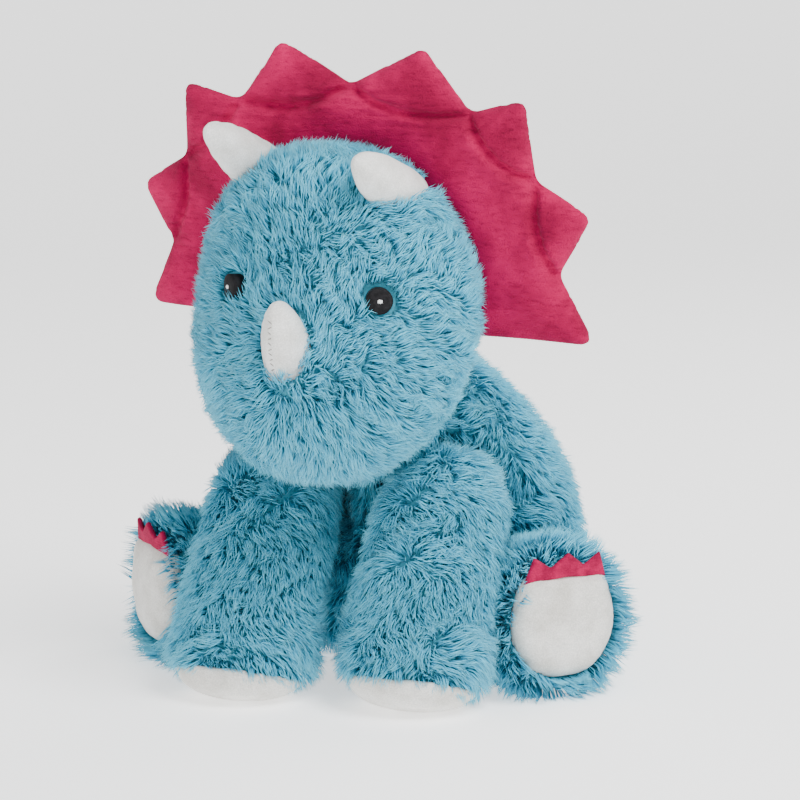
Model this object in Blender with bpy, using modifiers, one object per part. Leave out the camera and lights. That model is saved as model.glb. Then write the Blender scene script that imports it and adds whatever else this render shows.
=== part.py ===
"""A stuffed three-horned dinosaur, sitting, with a warming grain pouch in its belly.

Sizes in the tables are millimetres, and MM turns them into Blender's metres.
The toy faces -Y, +Z is up, and its own left is +X.
"""
import math

import bmesh
import bpy
from mathutils import Euler, Vector

MM = 0.001

# ---------------------------------------------------------------- driving dimensions
ORIGIN_X, ORIGIN_Y = 0.5, -79.5   # puts the origin under the middle of the toy's box
GAP = 0.3                 # between pieces that touch
COVER = 7.5               # fur fabric of the torso and head, backing and standing pile
LEG_COVER = 5.5           # fur fabric of the legs and tail
CLOTH = 1.2               # short plush of horns, and the calico of the grain pouch
CAGE_SEGMENTS = 12
CAGE_SPREAD = 1.035       # a subdivided cage shrinks by this much
BALL_SIDES, BALL_RINGS = 16, 10
FAR = 400.0               # cutters reach this far past the toy

# rings of a soft form, from the bottom up: height, middle x, middle y, half width, front, back
TORSO_RINGS = [
    (0, 0, 106, 66, 42, 54),
    (14, 0, 106, 86, 46, 68),
    (40, 0, 105, 95, 48, 73),
    (68, 0, 103, 95, 46, 74),
    (98, 0, 98, 91, 46, 70),
    (128, 0, 88, 74, 44, 60),
    (152, 0, 77, 54, 38, 46),
    (168, 0, 70, 34, 28, 32),
]
TORSO_BOTTOM, TORSO_TOP = (0, 106, -3), (0, 66, 178)
BACK_SEAM_Y = 92.0        # the side seam between belly and back
SEAT_SEAM_Z = 9.0         # the seat's edge above the floor

HEAD_CENTRE = (1, 10, 192)
HEAD_YAW, HEAD_ROLL = -5.0, 2.0
# the head's own frame starts at its centre
HEAD_RINGS = [
    (-76, 0, -14, 30, 27, 26),
    (-60, 0, -14, 49, 42, 42),
    (-40, 0, -8, 63, 56, 50),
    (-18, 0, -2, 71, 60, 52),
    (8, 0, 1, 73, 47, 54),
    (34, 0, -2, 67, 45, 50),
    (57, 0, -7, 54, 38, 44),
    (73, 0, -9, 35, 26, 30),
]
HEAD_BOTTOM, HEAD_TOP = (0, -14, -83), (0, -9, 81)

NECK_PIVOT = Vector((0, 50, 140))
NECK_TILT = 50.0          # the neck's axis leans this far forward of straight up
NECK_BALL_R = 30.0
NECK_HALF_GAP = 4.0       # each side of the pivot, so that the head can nod

FRILL_HINGE = (0, 28, -4)  # in the head's frame
FRILL_LEAN = 10.0
FRILL_SHEET, FRILL_WADDING = 2.6, 4.0
# half of the frill's outline from its middle valley down, x and height above the head's centre
FRILL_TIPS = [(38, 127.5), (89.5, 106), (121, 51), (121.5, -12)]
FRILL_VALLEYS = [(0, 108), (60, 97), (93.5, 67), (104, 22.5)]
FRILL_INNER = (40, -12)
TIP_ROUND, VALLEY_ROUND = 7.0, 11.0

# base and tip of each horn in the head's frame, base radius
HORNS = {
    "brow_horn_right": ((-41, 4, 60), (-44, -54, 86), 12.5),
    "brow_horn_left": ((35, -2, 54), (33, -54, 77), 12.5),
    "nose_horn": ((0, -47, -21), (0, -65, 10), 12.5),
}
EYES = {"left": ((40, -38.4, 11.3), 33), "right": ((-36, -40, 11.3), -37)}
EYE_R, EYE_PROUD = 7.0, 1.6
HIGHLIGHT_R, HIGHLIGHT_UP = 1.1, 0.8

SHOULDER = (45, 42, 90)
SHOULDER_R = 33.0
FRONT_LEG_RINGS = [
    (2, 43, -3, 28, 20, 24),
    (12, 43, -4, 35, 31, 28),
    (30, 43, 1, 36, 34, 27),
    (54, 43.5, 14, 35, 31, 30),
    (78, 44.5, 30, 33, 30, 38),
    (100, 45, 42, 31, 30, 30),
    (115, 45, 42, 20, 20, 20),
]
FRONT_LEG_BOTTOM, FRONT_LEG_TOP = (43, 0, -2.5), (45, 42, 122)
FRONT_LEG_STEP = {"left": 6.0, "right": -6.0}   # the left foot stands further back
FRONT_SOLE_AT, FRONT_SOLE_TILT = (43, 0, 9), 22.0

HIP_Z, HIP_R = 36.0, 36.0
HIPS = {"left": (69, 78), "right": (-70, 70)}
HIND_FOOT = {"left": (113, 33), "right": (-117, 22)}
HIND_LEG_RINGS = [        # along the leg, from the hip's back to the sole
    (-30, 0, 0, 16, 16, 16),
    (-22, 0, 0, 25, 27, 26),
    (-8, 0, 0, 30, 35, 33),
    (14, 0, 0, 31.5, 36, 35),
    (36, 0, 0, 31.5, 36, 36.5),
    (50, 0, 0, 30, 33, 34.5),
    (58, 0, 0, 27, 28, 30),
]
HIND_LEG_BACK, HIND_LEG_END = (0, 0, -34), (0, 0, 64)
HIND_SOLE_FROM = 55.0
CLAW_BASE_R, CLAW_VALLEY_R, CLAW_TIP_R = 32.0, 36.5, 44.5
CLAW_THICK, CLAW_SPREAD = 2.6, 48.0

TAIL_BASE = Vector((0, 176, 42))
TAIL_RINGS = [            # along the tail, from inside the back
    (-10, 0, 0, 20, 20, 20),
    (4, 0, 0, 23, 21, 21),
    (20, 0, 0, 19, 17, 17),
    (34, 0, 0, 11, 10, 10),
]
TAIL_START, TAIL_TIP, TAIL_LIFT = (0, 0, -20), (0, 0, 43), 12.0
TAIL_CUP_R = 25.0

POUCH_CENTRE, POUCH_SIZE, POUCH_ROUND = (0, 98, 56), (60, 26, 80), 11.0

COLOURS = {
    "fur": ((0.105, 0.360, 0.455), 0.95),
    "frill": ((0.500, 0.030, 0.120), 0.85),
    "claw": ((0.560, 0.035, 0.140), 0.85),
    "velour": ((0.720, 0.710, 0.670), 0.90),
    "eye": ((0.012, 0.012, 0.016), 0.60),
    "thread": ((0.850, 0.850, 0.850), 0.60),
    "stuffing": ((0.860, 0.860, 0.840), 1.00),
    "calico": ((0.780, 0.730, 0.620), 0.95),
    "grain": ((0.640, 0.450, 0.220), 0.80),
}


# ---------------------------------------------------------------- scene, frames and materials
for old in list(bpy.data.objects):
    bpy.data.objects.remove(old, do_unlink=True)

toy = bpy.data.collections.new("stuffed_dinosaur")
tools = bpy.data.collections.new("cutters")
for group in (toy, tools):
    bpy.context.scene.collection.children.link(group)


def frame(name, at=(0, 0, 0), turn=(0, 0, 0), parent=None):
    """An empty that carries a group of pieces; place in millimetres, turn in degrees."""
    empty = bpy.data.objects.new(name, None)
    empty.location = Vector(at) * MM
    empty.rotation_euler = Euler([math.radians(a) for a in turn])
    empty.parent = parent
    toy.objects.link(empty)
    return empty


def material(slot):
    if slot not in bpy.data.materials:
        colour, rough = COLOURS[slot]
        made = bpy.data.materials.new(slot)
        made.use_nodes = True
        shader = made.node_tree.nodes["Principled BSDF"]
        shader.inputs["Base Color"].default_value = (*colour, 1.0)
        shader.inputs["Roughness"].default_value = rough
    return bpy.data.materials[slot]


def add(name, mesh, parent, slot=None):
    """Link a mesh as a piece of the toy, or as a cutter when it has no material slot."""
    piece = bpy.data.objects.new(name, mesh)
    piece.parent = parent
    if slot:
        toy.objects.link(piece)
        mesh.materials.append(material(slot))
    else:
        tools.objects.link(piece)
        piece.hide_render = True
        piece.display_type = 'WIRE'
    return piece


def mesh_of(name, bm):
    mesh = bpy.data.meshes.new(name)
    bm.to_mesh(mesh)
    bm.free()
    mesh.shade_smooth()
    return mesh


# ---------------------------------------------------------------- shapes
def soft_cage(name, rings, bottom, top):
    """A sphere whose rings are pulled to the given sections, to be subdivided."""
    bm = bmesh.new()
    bmesh.ops.create_uvsphere(bm, u_segments=CAGE_SEGMENTS, v_segments=len(rings) + 1, radius=1)
    levels = sorted({round(v.co.z, 4) for v in bm.verts})
    for v in bm.verts:
        level = levels.index(round(v.co.z, 4))
        if level == 0:
            v.co = Vector(bottom) * MM
        elif level == len(levels) - 1:
            v.co = Vector(top) * MM
        else:
            z, x, y, half, front, back = rings[level - 1]
            around = Vector((v.co.x, v.co.y)).normalized() * CAGE_SPREAD
            depth = front if around.y < 0 else back
            v.co = Vector((x + around.x * half, y + around.y * depth, z)) * MM
    return mesh_of(name, bm)


def subdivide(piece, levels=1):
    smooth = piece.modifiers.new("smooth", 'SUBSURF')
    smooth.levels = levels
    smooth.render_levels = levels


def facet(piece):
    """Split the faces the same way in every copy, so that nested copies can't cross."""
    split = piece.modifiers.new("facets", 'TRIANGULATE')
    split.quad_method = 'FIXED'


def shell(piece, thickness):
    wall = piece.modifiers.new("wall", 'SOLIDIFY')
    wall.thickness = thickness * MM
    wall.offset = -1
    wall.use_even_offset = True


def swell(piece, distance):
    """Move the surface outwards along its normals, or inwards when negative."""
    move = piece.modifiers.new("swell", 'DISPLACE')
    move.mid_level = 0
    move.strength = distance * MM


def cut(piece, *cutters, keep=False):
    for cutter in cutters:
        step = piece.modifiers.new("cut", 'BOOLEAN')
        step.operation = 'INTERSECT' if keep else 'DIFFERENCE'
        step.solver = 'MANIFOLD'       # the exact solver loses pieces cut by two seams
        step.object = cutter


def box(name, low, high, parent, at=(0, 0, 0), turn=(0, 0, 0)):
    """A block cutter between two corners, in millimetres in its parent's frame."""
    bm = bmesh.new()
    bmesh.ops.create_cube(bm, size=1)
    middle = (Vector(low) + Vector(high)) / 2
    for v in bm.verts:
        v.co = (Vector([c * (h - a) for c, a, h in zip(v.co, low, high)]) + middle) * MM
    cutter = add(name, mesh_of(name, bm), parent)
    cutter.location = Vector(at) * MM
    cutter.rotation_euler = Euler([math.radians(a) for a in turn])
    return cutter


def ball(name, at, radius, parent, slot=None):
    bm = bmesh.new()
    bmesh.ops.create_uvsphere(bm, u_segments=BALL_SIDES, v_segments=BALL_RINGS, radius=radius * MM)
    bmesh.ops.translate(bm, verts=bm.verts, vec=Vector(at) * MM)
    return add(name, mesh_of(name, bm), parent, slot)


def cup_radius(radius):
    """Radius of a faceted cup that a faceted ball of this radius can turn in."""
    flats = math.cos(math.pi / BALL_SIDES) * math.cos(math.pi / BALL_RINGS / 2)
    return (radius + GAP) / flats


def rod(name, radius, low, high, parent, slot=None, sides=20):
    """A cylinder along its parent's Z between two heights."""
    bm = bmesh.new()
    bmesh.ops.create_cone(bm, cap_ends=True, segments=sides, radius1=radius * MM,
                          radius2=radius * MM, depth=(high - low) * MM)
    bmesh.ops.translate(bm, verts=bm.verts, vec=(0, 0, (low + high) / 2 * MM))
    return add(name, mesh_of(name, bm), parent, slot)


def turned(name, profile, parent, slot):
    """A turned form from a profile of radius and height, top to bottom."""
    mesh = bpy.data.meshes.new(name)
    points = [(r * MM, 0, z * MM) for r, z in profile]
    mesh.from_pydata(points, [(i, i + 1) for i in range(len(points) - 1)], [])
    piece = add(name, mesh, parent, slot)
    spin = piece.modifiers.new("turn", 'SCREW')
    spin.steps = spin.render_steps = 16
    spin.use_merge_vertices = True
    spin.merge_threshold = 0.00001
    return piece


def covered(prefix, cage, parent, thickness, panels, trims=()):
    """Fur panels cut from one form, and the stuffing inside them.

    panels maps each panel's name and slot to the blocks that bound it.
    """
    lining = add(prefix + "_lining", cage.copy(), parent)
    facet(lining)
    swell(lining, -thickness)
    for (name, slot), blocks in panels.items():
        panel = add(name, cage.copy(), parent, slot)
        subdivide(panel)
        cut(panel, *blocks, keep=True)
        cut(panel, lining, *trims)
    filling = add(prefix + "_stuffing", cage.copy(), parent, "stuffing")
    facet(filling)
    swell(filling, -(thickness + 2 * GAP))
    cut(filling, *trims)
    return filling


# ---------------------------------------------------------------- frames and shared cutters
root = frame("toy_frame", (ORIGIN_X, ORIGIN_Y, 0))
head_frame = frame("head_frame", HEAD_CENTRE, (0, HEAD_ROLL, HEAD_YAW), root)
neck_frame = frame("neck_frame", NECK_PIVOT, (NECK_TILT, 0, 0), root)

floor = box("floor_cut", (-FAR, -FAR, -FAR), (FAR, FAR, 0), root)
in_front = box("head_side_cut", (-FAR, -FAR, -NECK_HALF_GAP), (FAR, FAR, FAR), neck_frame)
behind = box("torso_side_cut", (-FAR, -FAR, -FAR), (FAR, FAR, NECK_HALF_GAP), neck_frame)
neck_cup = ball("neck_cup", (0, 0, 0), cup_radius(NECK_BALL_R), neck_frame)
ball("neck_stuffing", (0, 0, 0), NECK_BALL_R, neck_frame, "stuffing")


def side_blocks(name, parent, split_y, low_z=-FAR):
    """Blocks for left, right, front and back of a form, each half a gap short of the seams."""
    half = GAP / 2
    return {
        "left": box(name + "_left", (half, -FAR, -FAR), (FAR, FAR, FAR), parent),
        "right": box(name + "_right", (-FAR, -FAR, -FAR), (-half, FAR, FAR), parent),
        "front": box(name + "_front", (-FAR, -FAR, low_z), (FAR, split_y - half, FAR), parent),
        "back": box(name + "_back", (-FAR, split_y + half, low_z), (FAR, FAR, FAR), parent),
    }


# ---------------------------------------------------------------- torso
torso_cage = soft_cage("torso_cage", TORSO_RINGS, TORSO_BOTTOM, TORSO_TOP)
sides = side_blocks("torso", root, BACK_SEAM_Y, SEAT_SEAM_Z + GAP / 2)
seat_block = box("torso_seat", (-FAR, -FAR, 0), (FAR, FAR, SEAT_SEAM_Z - GAP / 2), root)
hip_cups = [ball(f"hip_cup_{side}", (x, y, HIP_Z), cup_radius(HIP_R), root)
            for side, (x, y) in HIPS.items()]
shoulder_cups = []
for side, sign in (("left", 1), ("right", -1)):
    x, y, z = SHOULDER
    cup_frame = frame(f"shoulder_axis_{side}", (sign * x, y, z), (0, 90, 0), root)
    shoulder_cups.append(rod(f"shoulder_cup_{side}", SHOULDER_R + 4 * GAP, -36, 36, cup_frame))
tail_frame = frame("tail_frame", TAIL_BASE, (-90 + TAIL_LIFT, 0, 0), root)
tail_cup = ball("tail_cup", (0, 0, 0), TAIL_CUP_R, tail_frame)

torso_stuffing = covered(
    "torso", torso_cage, root, COVER,
    {
        ("back_panel_left", "fur"): (sides["left"], sides["back"]),
        ("back_panel_right", "fur"): (sides["right"], sides["back"]),
        ("belly_panel", "fur"): (sides["front"],),
        ("seat_panel", "fur"): (seat_block,),
    },
    (in_front, neck_cup, tail_cup, *hip_cups, *shoulder_cups),
)


# ---------------------------------------------------------------- grain pouch in the belly
def pillow(name, shrink, parent, slot=None):
    bm = bmesh.new()
    bmesh.ops.create_cube(bm, size=1)
    for v in bm.verts:
        v.co = Vector([c * (s - 2 * shrink) for c, s in zip(v.co, POUCH_SIZE)]) * MM
    piece = add(name, mesh_of(name, bm), parent, slot)
    piece.location = Vector(POUCH_CENTRE) * MM
    rounding = piece.modifiers.new("round", 'BEVEL')
    rounding.width = (POUCH_ROUND - shrink) * MM
    rounding.segments = 3
    return piece


pouch_seam = side_blocks("pouch", root, POUCH_CENTRE[1])
for half_name in ("front", "back"):
    pouch = pillow(f"grain_pouch_{half_name}", 0, root, "calico")
    shell(pouch, CLOTH)
    cut(pouch, pouch_seam[half_name], keep=True)
pillow("grain_fill", CLOTH + GAP, root, "grain")
pocket_half = Vector(POUCH_SIZE) / 2 + Vector((GAP, GAP, GAP))
pocket_low = Vector(POUCH_CENTRE) - pocket_half
pocket_low.z = 0          # it opens onto the seat panel, where the pouch goes in
cut(torso_stuffing, box("pouch_pocket", pocket_low, Vector(POUCH_CENTRE) + pocket_half, root))

# ---------------------------------------------------------------- head
head_cage = soft_cage("head_cage", HEAD_RINGS, HEAD_BOTTOM, HEAD_TOP)
head_clearance = add("head_clearance", head_cage.copy(), head_frame)
subdivide(head_clearance)
swell(head_clearance, 2 * GAP)

face_frame = frame("face_frame", FRILL_HINGE, (FRILL_LEAN, 0, 0), head_frame)
face = side_blocks("face", face_frame, 0)
covered(
    "head", head_cage, head_frame, COVER,
    {
        ("face_panel_left", "fur"): (face["left"], face["front"]),
        ("face_panel_right", "fur"): (face["right"], face["front"]),
        ("head_back_panel", "fur"): (face["back"],),
    },
    (behind, neck_cup),
)


def horn_profile(radius, height):
    """Half of a blunt horn's section, from the middle of its tip to its base."""
    steps = 5
    rise = [i / steps for i in range(steps + 1)]
    return [(radius * math.sin(math.pi / 2 * t) ** 0.8, height * (1 - t ** 1.25)) for t in rise]


for name, (base, tip, radius) in HORNS.items():
    axis = Vector(tip) - Vector(base)
    horn_frame = frame(name + "_frame", base, (0, 0, 0), head_frame)
    horn_frame.rotation_euler = axis.to_track_quat('Z', 'Y').to_euler()
    cover = turned(name + "_cover", horn_profile(radius, axis.length), horn_frame, "velour")
    shell(cover, CLOTH)
    core = horn_profile(radius - CLOTH - 2 * GAP, axis.length - 2 * CLOTH)
    filling = turned(name + "_stuffing", core + [(0, 0)], horn_frame, "stuffing")
    cut(cover, head_clearance)
    cut(filling, head_clearance)

for side, (at, turn) in EYES.items():
    eye_frame = frame(f"eye_frame_{side}", at, (90, 0, turn), head_frame)
    eye = rod(f"eye_{side}", EYE_R, -8, EYE_PROUD, eye_frame, "eye")
    cut(eye, head_clearance)
    dot = rod(f"eye_highlight_{side}", HIGHLIGHT_R, EYE_PROUD + GAP, EYE_PROUD + 3 * GAP,
              eye_frame, "thread", sides=12)
    dot.location.y = HIGHLIGHT_UP * MM


# ---------------------------------------------------------------- frill
def frill_layer(name, slot, low, high):
    """One layer of the frill: half an outline, mirrored, rounded at its points and valleys."""
    half = []
    for valley, tip in zip(FRILL_VALLEYS, FRILL_TIPS):
        half += [(valley, VALLEY_ROUND), (tip, TIP_ROUND)]
    half.append((FRILL_INNER, 0))
    outline = half + [((-x, z), r) for (x, z), r in reversed(half) if x > 0]
    bm = bmesh.new()
    lift = FRILL_HINGE[2]
    corners = [bm.verts.new((x * MM, high * MM, (z - lift) * MM)) for (x, z), r in outline]
    rounds = [r for corner, r in outline]
    bm.faces.new(corners)
    for reach in (TIP_ROUND, VALLEY_ROUND):
        chosen = [v for v, r in zip(corners, rounds) if r == reach]
        bmesh.ops.bevel(bm, geom=chosen, offset=reach * MM, segments=4, profile=0.5,
                        affect='VERTICES', offset_type='OFFSET')
        alive = [(v, r) for v, r in zip(corners, rounds) if v.is_valid]
        corners, rounds = [v for v, r in alive], [r for v, r in alive]
    bm.normal_update()
    bmesh.ops.reverse_faces(bm, faces=[f for f in bm.faces if f.normal.y < 0])
    layer = add(name, mesh_of(name, bm), face_frame, slot)
    wall = layer.modifiers.new("wall", 'SOLIDIFY')
    wall.thickness = (high - low) * MM
    wall.offset = -1
    cut(layer, frill_hole)
    return layer


frill_hole = add("frill_hole", head_cage.copy(), head_frame)
subdivide(frill_hole)
swell(frill_hole, 2.5)
half_wad = FRILL_WADDING / 2
frill_layer("frill_wadding", "stuffing", -half_wad, half_wad)
frill_layer("frill_back_sheet", "frill", half_wad + GAP, half_wad + GAP + FRILL_SHEET)
frill_layer("frill_front_sheet", "frill", -half_wad - GAP - FRILL_SHEET, -half_wad - GAP)

# ---------------------------------------------------------------- front legs
for side, sign in (("left", 1), ("right", -1)):
    step, knee = FRONT_LEG_STEP[side], SHOULDER[2]
    rings = [(z, sign * x, y + step * max(1 - z / knee, 0), half, front, back)
             for z, x, y, half, front, back in FRONT_LEG_RINGS]
    bottom, top = [(sign * x, y + step * max(1 - z / knee, 0), z)
                   for x, y, z in (FRONT_LEG_BOTTOM, FRONT_LEG_TOP)]
    cage = soft_cage(f"front_leg_cage_{side}", rings, bottom, top)
    x, y, z = FRONT_SOLE_AT
    y += step
    sole_frame = frame(f"front_sole_frame_{side}", (sign * x, y, z), (-FRONT_SOLE_TILT, 0, 0), root)
    half = GAP / 2
    low = box(f"front_sole_{side}", (-FAR, -FAR, -FAR), (FAR, FAR, -half), sole_frame)
    high = box(f"front_leg_{side}", (-FAR, -FAR, half), (FAR, FAR, FAR), sole_frame)
    middle = frame(f"front_leg_middle_{side}", (sign * x, 0, 0), (0, 0, 0), root)
    halves = side_blocks(f"front_leg_{side}", middle, 0)
    outer, inner = ("left", "right") if sign > 0 else ("right", "left")
    covered(
        f"front_leg_{side}", cage, root, LEG_COVER,
        {
            (f"front_leg_{side}_outer_cover", "fur"): (halves[outer], high),
            (f"front_leg_{side}_inner_cover", "fur"): (halves[inner], high),
            (f"front_leg_{side}_sole", "velour"): (low,),
        },
        (floor,),
    )


# ---------------------------------------------------------------- hind legs
def claw_outline():
    """Three points on a curved base: polar angle from straight up, and radius."""
    points = [(CLAW_SPREAD * (1 - i / 4), CLAW_BASE_R) for i in range(9)]
    crown = [(-CLAW_SPREAD + i * CLAW_SPREAD / 3, CLAW_TIP_R if i % 2 else CLAW_VALLEY_R)
             for i in range(1, 6)]
    return points + crown


for side, (hip_x, hip_y) in HIPS.items():
    foot = Vector((*HIND_FOOT[side], HIP_Z))
    hip = Vector((hip_x, hip_y, HIP_Z))
    heading = math.degrees(math.atan2(foot.y - hip.y, foot.x - hip.x)) + 90
    # local Z runs along the leg to the sole and local Y is straight up
    leg_frame = frame(f"hind_leg_frame_{side}", hip, (90, 0, heading), root)
    cage = soft_cage(f"hind_leg_cage_{side}", HIND_LEG_RINGS, HIND_LEG_BACK, HIND_LEG_END)
    half = GAP / 2
    foot_end = box(f"hind_sole_{side}", (-FAR, -FAR, HIND_SOLE_FROM + half), (FAR, FAR, FAR), leg_frame)
    shank = box(f"hind_leg_{side}", (-FAR, -FAR, -FAR), (FAR, FAR, HIND_SOLE_FROM - half), leg_frame)
    halves = side_blocks(f"hind_leg_{side}", leg_frame, 0)
    covered(
        f"hind_leg_{side}", cage, leg_frame, LEG_COVER,
        {
            (f"hind_leg_{side}_upper_cover", "fur"): (halves["back"], shank),
            (f"hind_leg_{side}_lower_cover", "fur"): (halves["front"], shank),
            (f"hind_leg_{side}_sole", "velour"): (foot_end,),
        },
        (floor,),
    )
    bm = bmesh.new()
    bm.faces.new([bm.verts.new((r * math.sin(math.radians(a)) * MM,
                                r * math.cos(math.radians(a)) * MM, HIND_SOLE_FROM * MM))
                  for a, r in claw_outline()])
    bm.normal_update()
    bmesh.ops.reverse_faces(bm, faces=[f for f in bm.faces if f.normal.z > 0])
    claws = add(f"hind_leg_{side}_claws", mesh_of(f"claws_{side}", bm), leg_frame, "claw")
    shell(claws, CLAW_THICK)

# ---------------------------------------------------------------- tail
tail_cage = soft_cage("tail_cage", TAIL_RINGS, TAIL_START, TAIL_TIP)
tail_sides = side_blocks("tail", tail_frame, 0)
covered(
    "tail", tail_cage, tail_frame, LEG_COVER,
    {
        ("tail_cover_left", "fur"): (tail_sides["left"],),
        ("tail_cover_right", "fur"): (tail_sides["right"],),
    },
)
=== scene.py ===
import math

import bmesh
import bpy
import numpy as np
from mathutils import Euler, Matrix, Vector, geometry
from mathutils.bvhtree import BVHTree
from mathutils.kdtree import KDTree


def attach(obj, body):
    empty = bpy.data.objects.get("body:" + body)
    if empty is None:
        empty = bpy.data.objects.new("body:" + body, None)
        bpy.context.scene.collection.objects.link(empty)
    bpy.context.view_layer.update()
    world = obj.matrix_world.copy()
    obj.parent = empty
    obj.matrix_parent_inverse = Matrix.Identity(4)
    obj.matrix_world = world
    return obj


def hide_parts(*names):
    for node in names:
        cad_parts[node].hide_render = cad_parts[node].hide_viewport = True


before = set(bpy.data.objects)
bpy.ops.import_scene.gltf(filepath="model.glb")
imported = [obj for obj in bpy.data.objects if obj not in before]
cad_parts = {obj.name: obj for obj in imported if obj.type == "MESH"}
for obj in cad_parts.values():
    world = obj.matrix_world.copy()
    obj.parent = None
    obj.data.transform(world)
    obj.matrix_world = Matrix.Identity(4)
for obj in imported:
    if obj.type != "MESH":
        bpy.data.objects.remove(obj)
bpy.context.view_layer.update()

mm = 0.001
print("frame loaded")

# where the toy's parts sit, as sewn; millimetres and degrees
toyOrigin = Vector((0.5, -79.5, 0.0))
headPlace = {"centre": (1, 10, 192), "roll": 2.0, "yaw": -5.0}
neckPlace = {"pivot": (0, 50, 140), "tilt": 50.0}
frillPlace = {"hinge": (0, 28, -4), "lean": 10.0}


def placed(at, turn=(0, 0, 0), parent=Matrix.Identity(4)):
    turned = Euler([math.radians(a) for a in turn]).to_matrix().to_4x4()
    return parent @ Matrix.Translation(Vector(at)) @ turned


toyFrame = placed(toyOrigin)
headFrame = placed(headPlace["centre"], (0, headPlace["roll"], headPlace["yaw"]), toyFrame)
neckFrame = placed(neckPlace["pivot"], (neckPlace["tilt"], 0, 0), toyFrame)
frillFrame = placed(frillPlace["hinge"], (frillPlace["lean"], 0, 0), headFrame)


def toWorld(matrix, points):      # local millimetres to metres in the frame
    m = np.array(matrix)
    return (np.asarray(points) @ m[:3, :3].T + m[:3, 3]) * mm


def toLocal(matrix, points):      # metres in the frame to local millimetres
    m = np.array(matrix.inverted())
    return (np.asarray(points) / mm) @ m[:3, :3].T + m[:3, 3]


def unit(vectors):
    return vectors / np.maximum(np.linalg.norm(vectors, axis=-1, keepdims=True), 1e-9)


# small modelling tools
def pickOnly(*things):
    bpy.ops.object.select_all(action='DESELECT')
    for thing in things:
        thing.select_set(True)
    bpy.context.view_layer.objects.active = things[0]


def applyAll(piece):
    pickOnly(piece)
    for step in list(piece.modifiers):
        bpy.ops.object.modifier_apply(modifier=step.name)


def refine(piece, levels):
    finer = piece.modifiers.new("finer", 'SUBSURF')
    finer.levels = finer.render_levels = levels
    applyAll(piece)


def mend(piece, merge, faceOut=True):      # joins vertices closer than merge, in mm, and turns faces out
    pickOnly(piece)
    bpy.ops.object.mode_set(mode='EDIT')
    bpy.ops.mesh.select_all(action='SELECT')
    if merge:
        bpy.ops.mesh.remove_doubles(threshold=merge * mm)
    if faceOut:
        bpy.ops.mesh.normals_make_consistent(inside=False)
    bpy.ops.object.mode_set(mode='OBJECT')


def spotsOf(piece):
    return np.array([v.co for v in piece.data.vertices])


def moveSpots(piece, spots):
    piece.data.vertices.foreach_set("co", spots.ravel())


def copyOfNodes(name, *nodes):      # the nodes' solids as one new piece, doubles merged
    twins = []
    for node in nodes:
        twin = bpy.data.objects.new(name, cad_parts[node].data.copy())
        bpy.context.scene.collection.objects.link(twin)
        twins.append(twin)
    pickOnly(*twins)
    if len(twins) > 1:
        bpy.ops.object.join()
    piece = twins[0]
    mend(piece, 0.01, faceOut=False)
    piece.data.materials.clear()
    return piece


def keepLargest(piece):      # drops what the remesh leaves shut inside
    bm = bmesh.new()
    bm.from_mesh(piece.data)
    left, islands = set(bm.verts), []
    while left:
        queue = [left.pop()]
        island = set(queue)
        while queue:
            here = queue.pop()
            fresh = [v for v in (e.other_vert(here) for e in here.link_edges) if v in left]
            left.difference_update(fresh)
            island.update(fresh)
            queue += fresh
        islands.append(island)
    islands.sort(key=len)
    bmesh.ops.delete(bm, geom=[v for island in islands[:-1] for v in island], context='VERTS')
    bm.to_mesh(piece.data)
    bm.free()


def softened(piece, voxel, passes, grow):      # one smooth skin, moved out or in
    remesh = piece.modifiers.new("remesh", 'REMESH')
    remesh.mode, remesh.voxel_size = 'VOXEL', voxel * mm
    soften = piece.modifiers.new("soften", 'SMOOTH')
    soften.factor, soften.iterations = 0.5, passes
    push = piece.modifiers.new("push", 'DISPLACE')
    push.mid_level, push.strength = 0, grow * mm
    applyAll(piece)
    keepLargest(piece)
    piece.data.shade_smooth()
    return piece


def newPiece(name, points, faces):
    mesh = bpy.data.meshes.new(name)
    mesh.from_pydata([tuple(p) for p in points], [], [tuple(f) for f in faces])
    mesh.shade_smooth()
    piece = bpy.data.objects.new(name, mesh)
    bpy.context.scene.collection.objects.link(piece)
    return piece


def setFinish(piece, material, body):
    piece.data.materials.clear()
    piece.data.materials.append(material)
    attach(piece, body)


def threadBead(radius):      # one short stitch starts as a ball
    bpy.ops.object.select_all(action='DESELECT')
    bpy.ops.mesh.primitive_uv_sphere_add(segments=8, ring_count=6, radius=radius)
    return bpy.context.active_object


def joinThreads(name, threads, local):      # stitches as one piece, brought from local mm to their place
    pickOnly(*threads)
    bpy.ops.object.join()
    row = bpy.context.active_object
    row.name = name
    moveSpots(row, toWorld(local, spotsOf(row)))
    row.data.shade_smooth()
    return row


# materials
def wired(tree, kind, **values):
    node = tree.nodes.new(kind)
    for key, value in values.items():
        if hasattr(node, key):
            setattr(node, key, value)
        else:
            node.inputs[key.replace("_", " ")].default_value = value
    return node


def ramp(tree, stops):
    node = tree.nodes.new("ShaderNodeValToRGB")
    marks = node.color_ramp.elements
    while len(marks) < len(stops):
        marks.new(0.5)
    for mark, (place, colour) in zip(marks, stops):
        mark.position, mark.color = place, (*colour, 1)
    return node


def startMaterial(name, rough, sheen=0.0, sheenTint=(1, 1, 1), specular=0.3):
    made = bpy.data.materials.new(name)
    made.use_nodes = True
    shader = made.node_tree.nodes["Principled BSDF"]
    shader.inputs["Roughness"].default_value = rough
    shader.inputs["Specular IOR Level"].default_value = specular
    shader.inputs["Sheen Weight"].default_value = sheen
    shader.inputs["Sheen Roughness"].default_value = 0.5
    shader.inputs["Sheen Tint"].default_value = (*sheenTint, 1)
    return made, made.node_tree, shader


# root is painted shade deep in the coat, tip is painted light on the tips, middle is the fur's teal; the tuft
# tones are the fur's own
furToneAndPaintedShading = {
    "root": (0.028, 0.255, 0.390), "middle": (0.068, 0.455, 0.660), "tip": (0.175, 0.660, 0.840),
    "sheen": (0.50, 0.86, 1.0), "darkTuft": (0.70, 0.78, 0.82), "paleTuft": (1.30, 1.17, 1.12),
}


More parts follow.
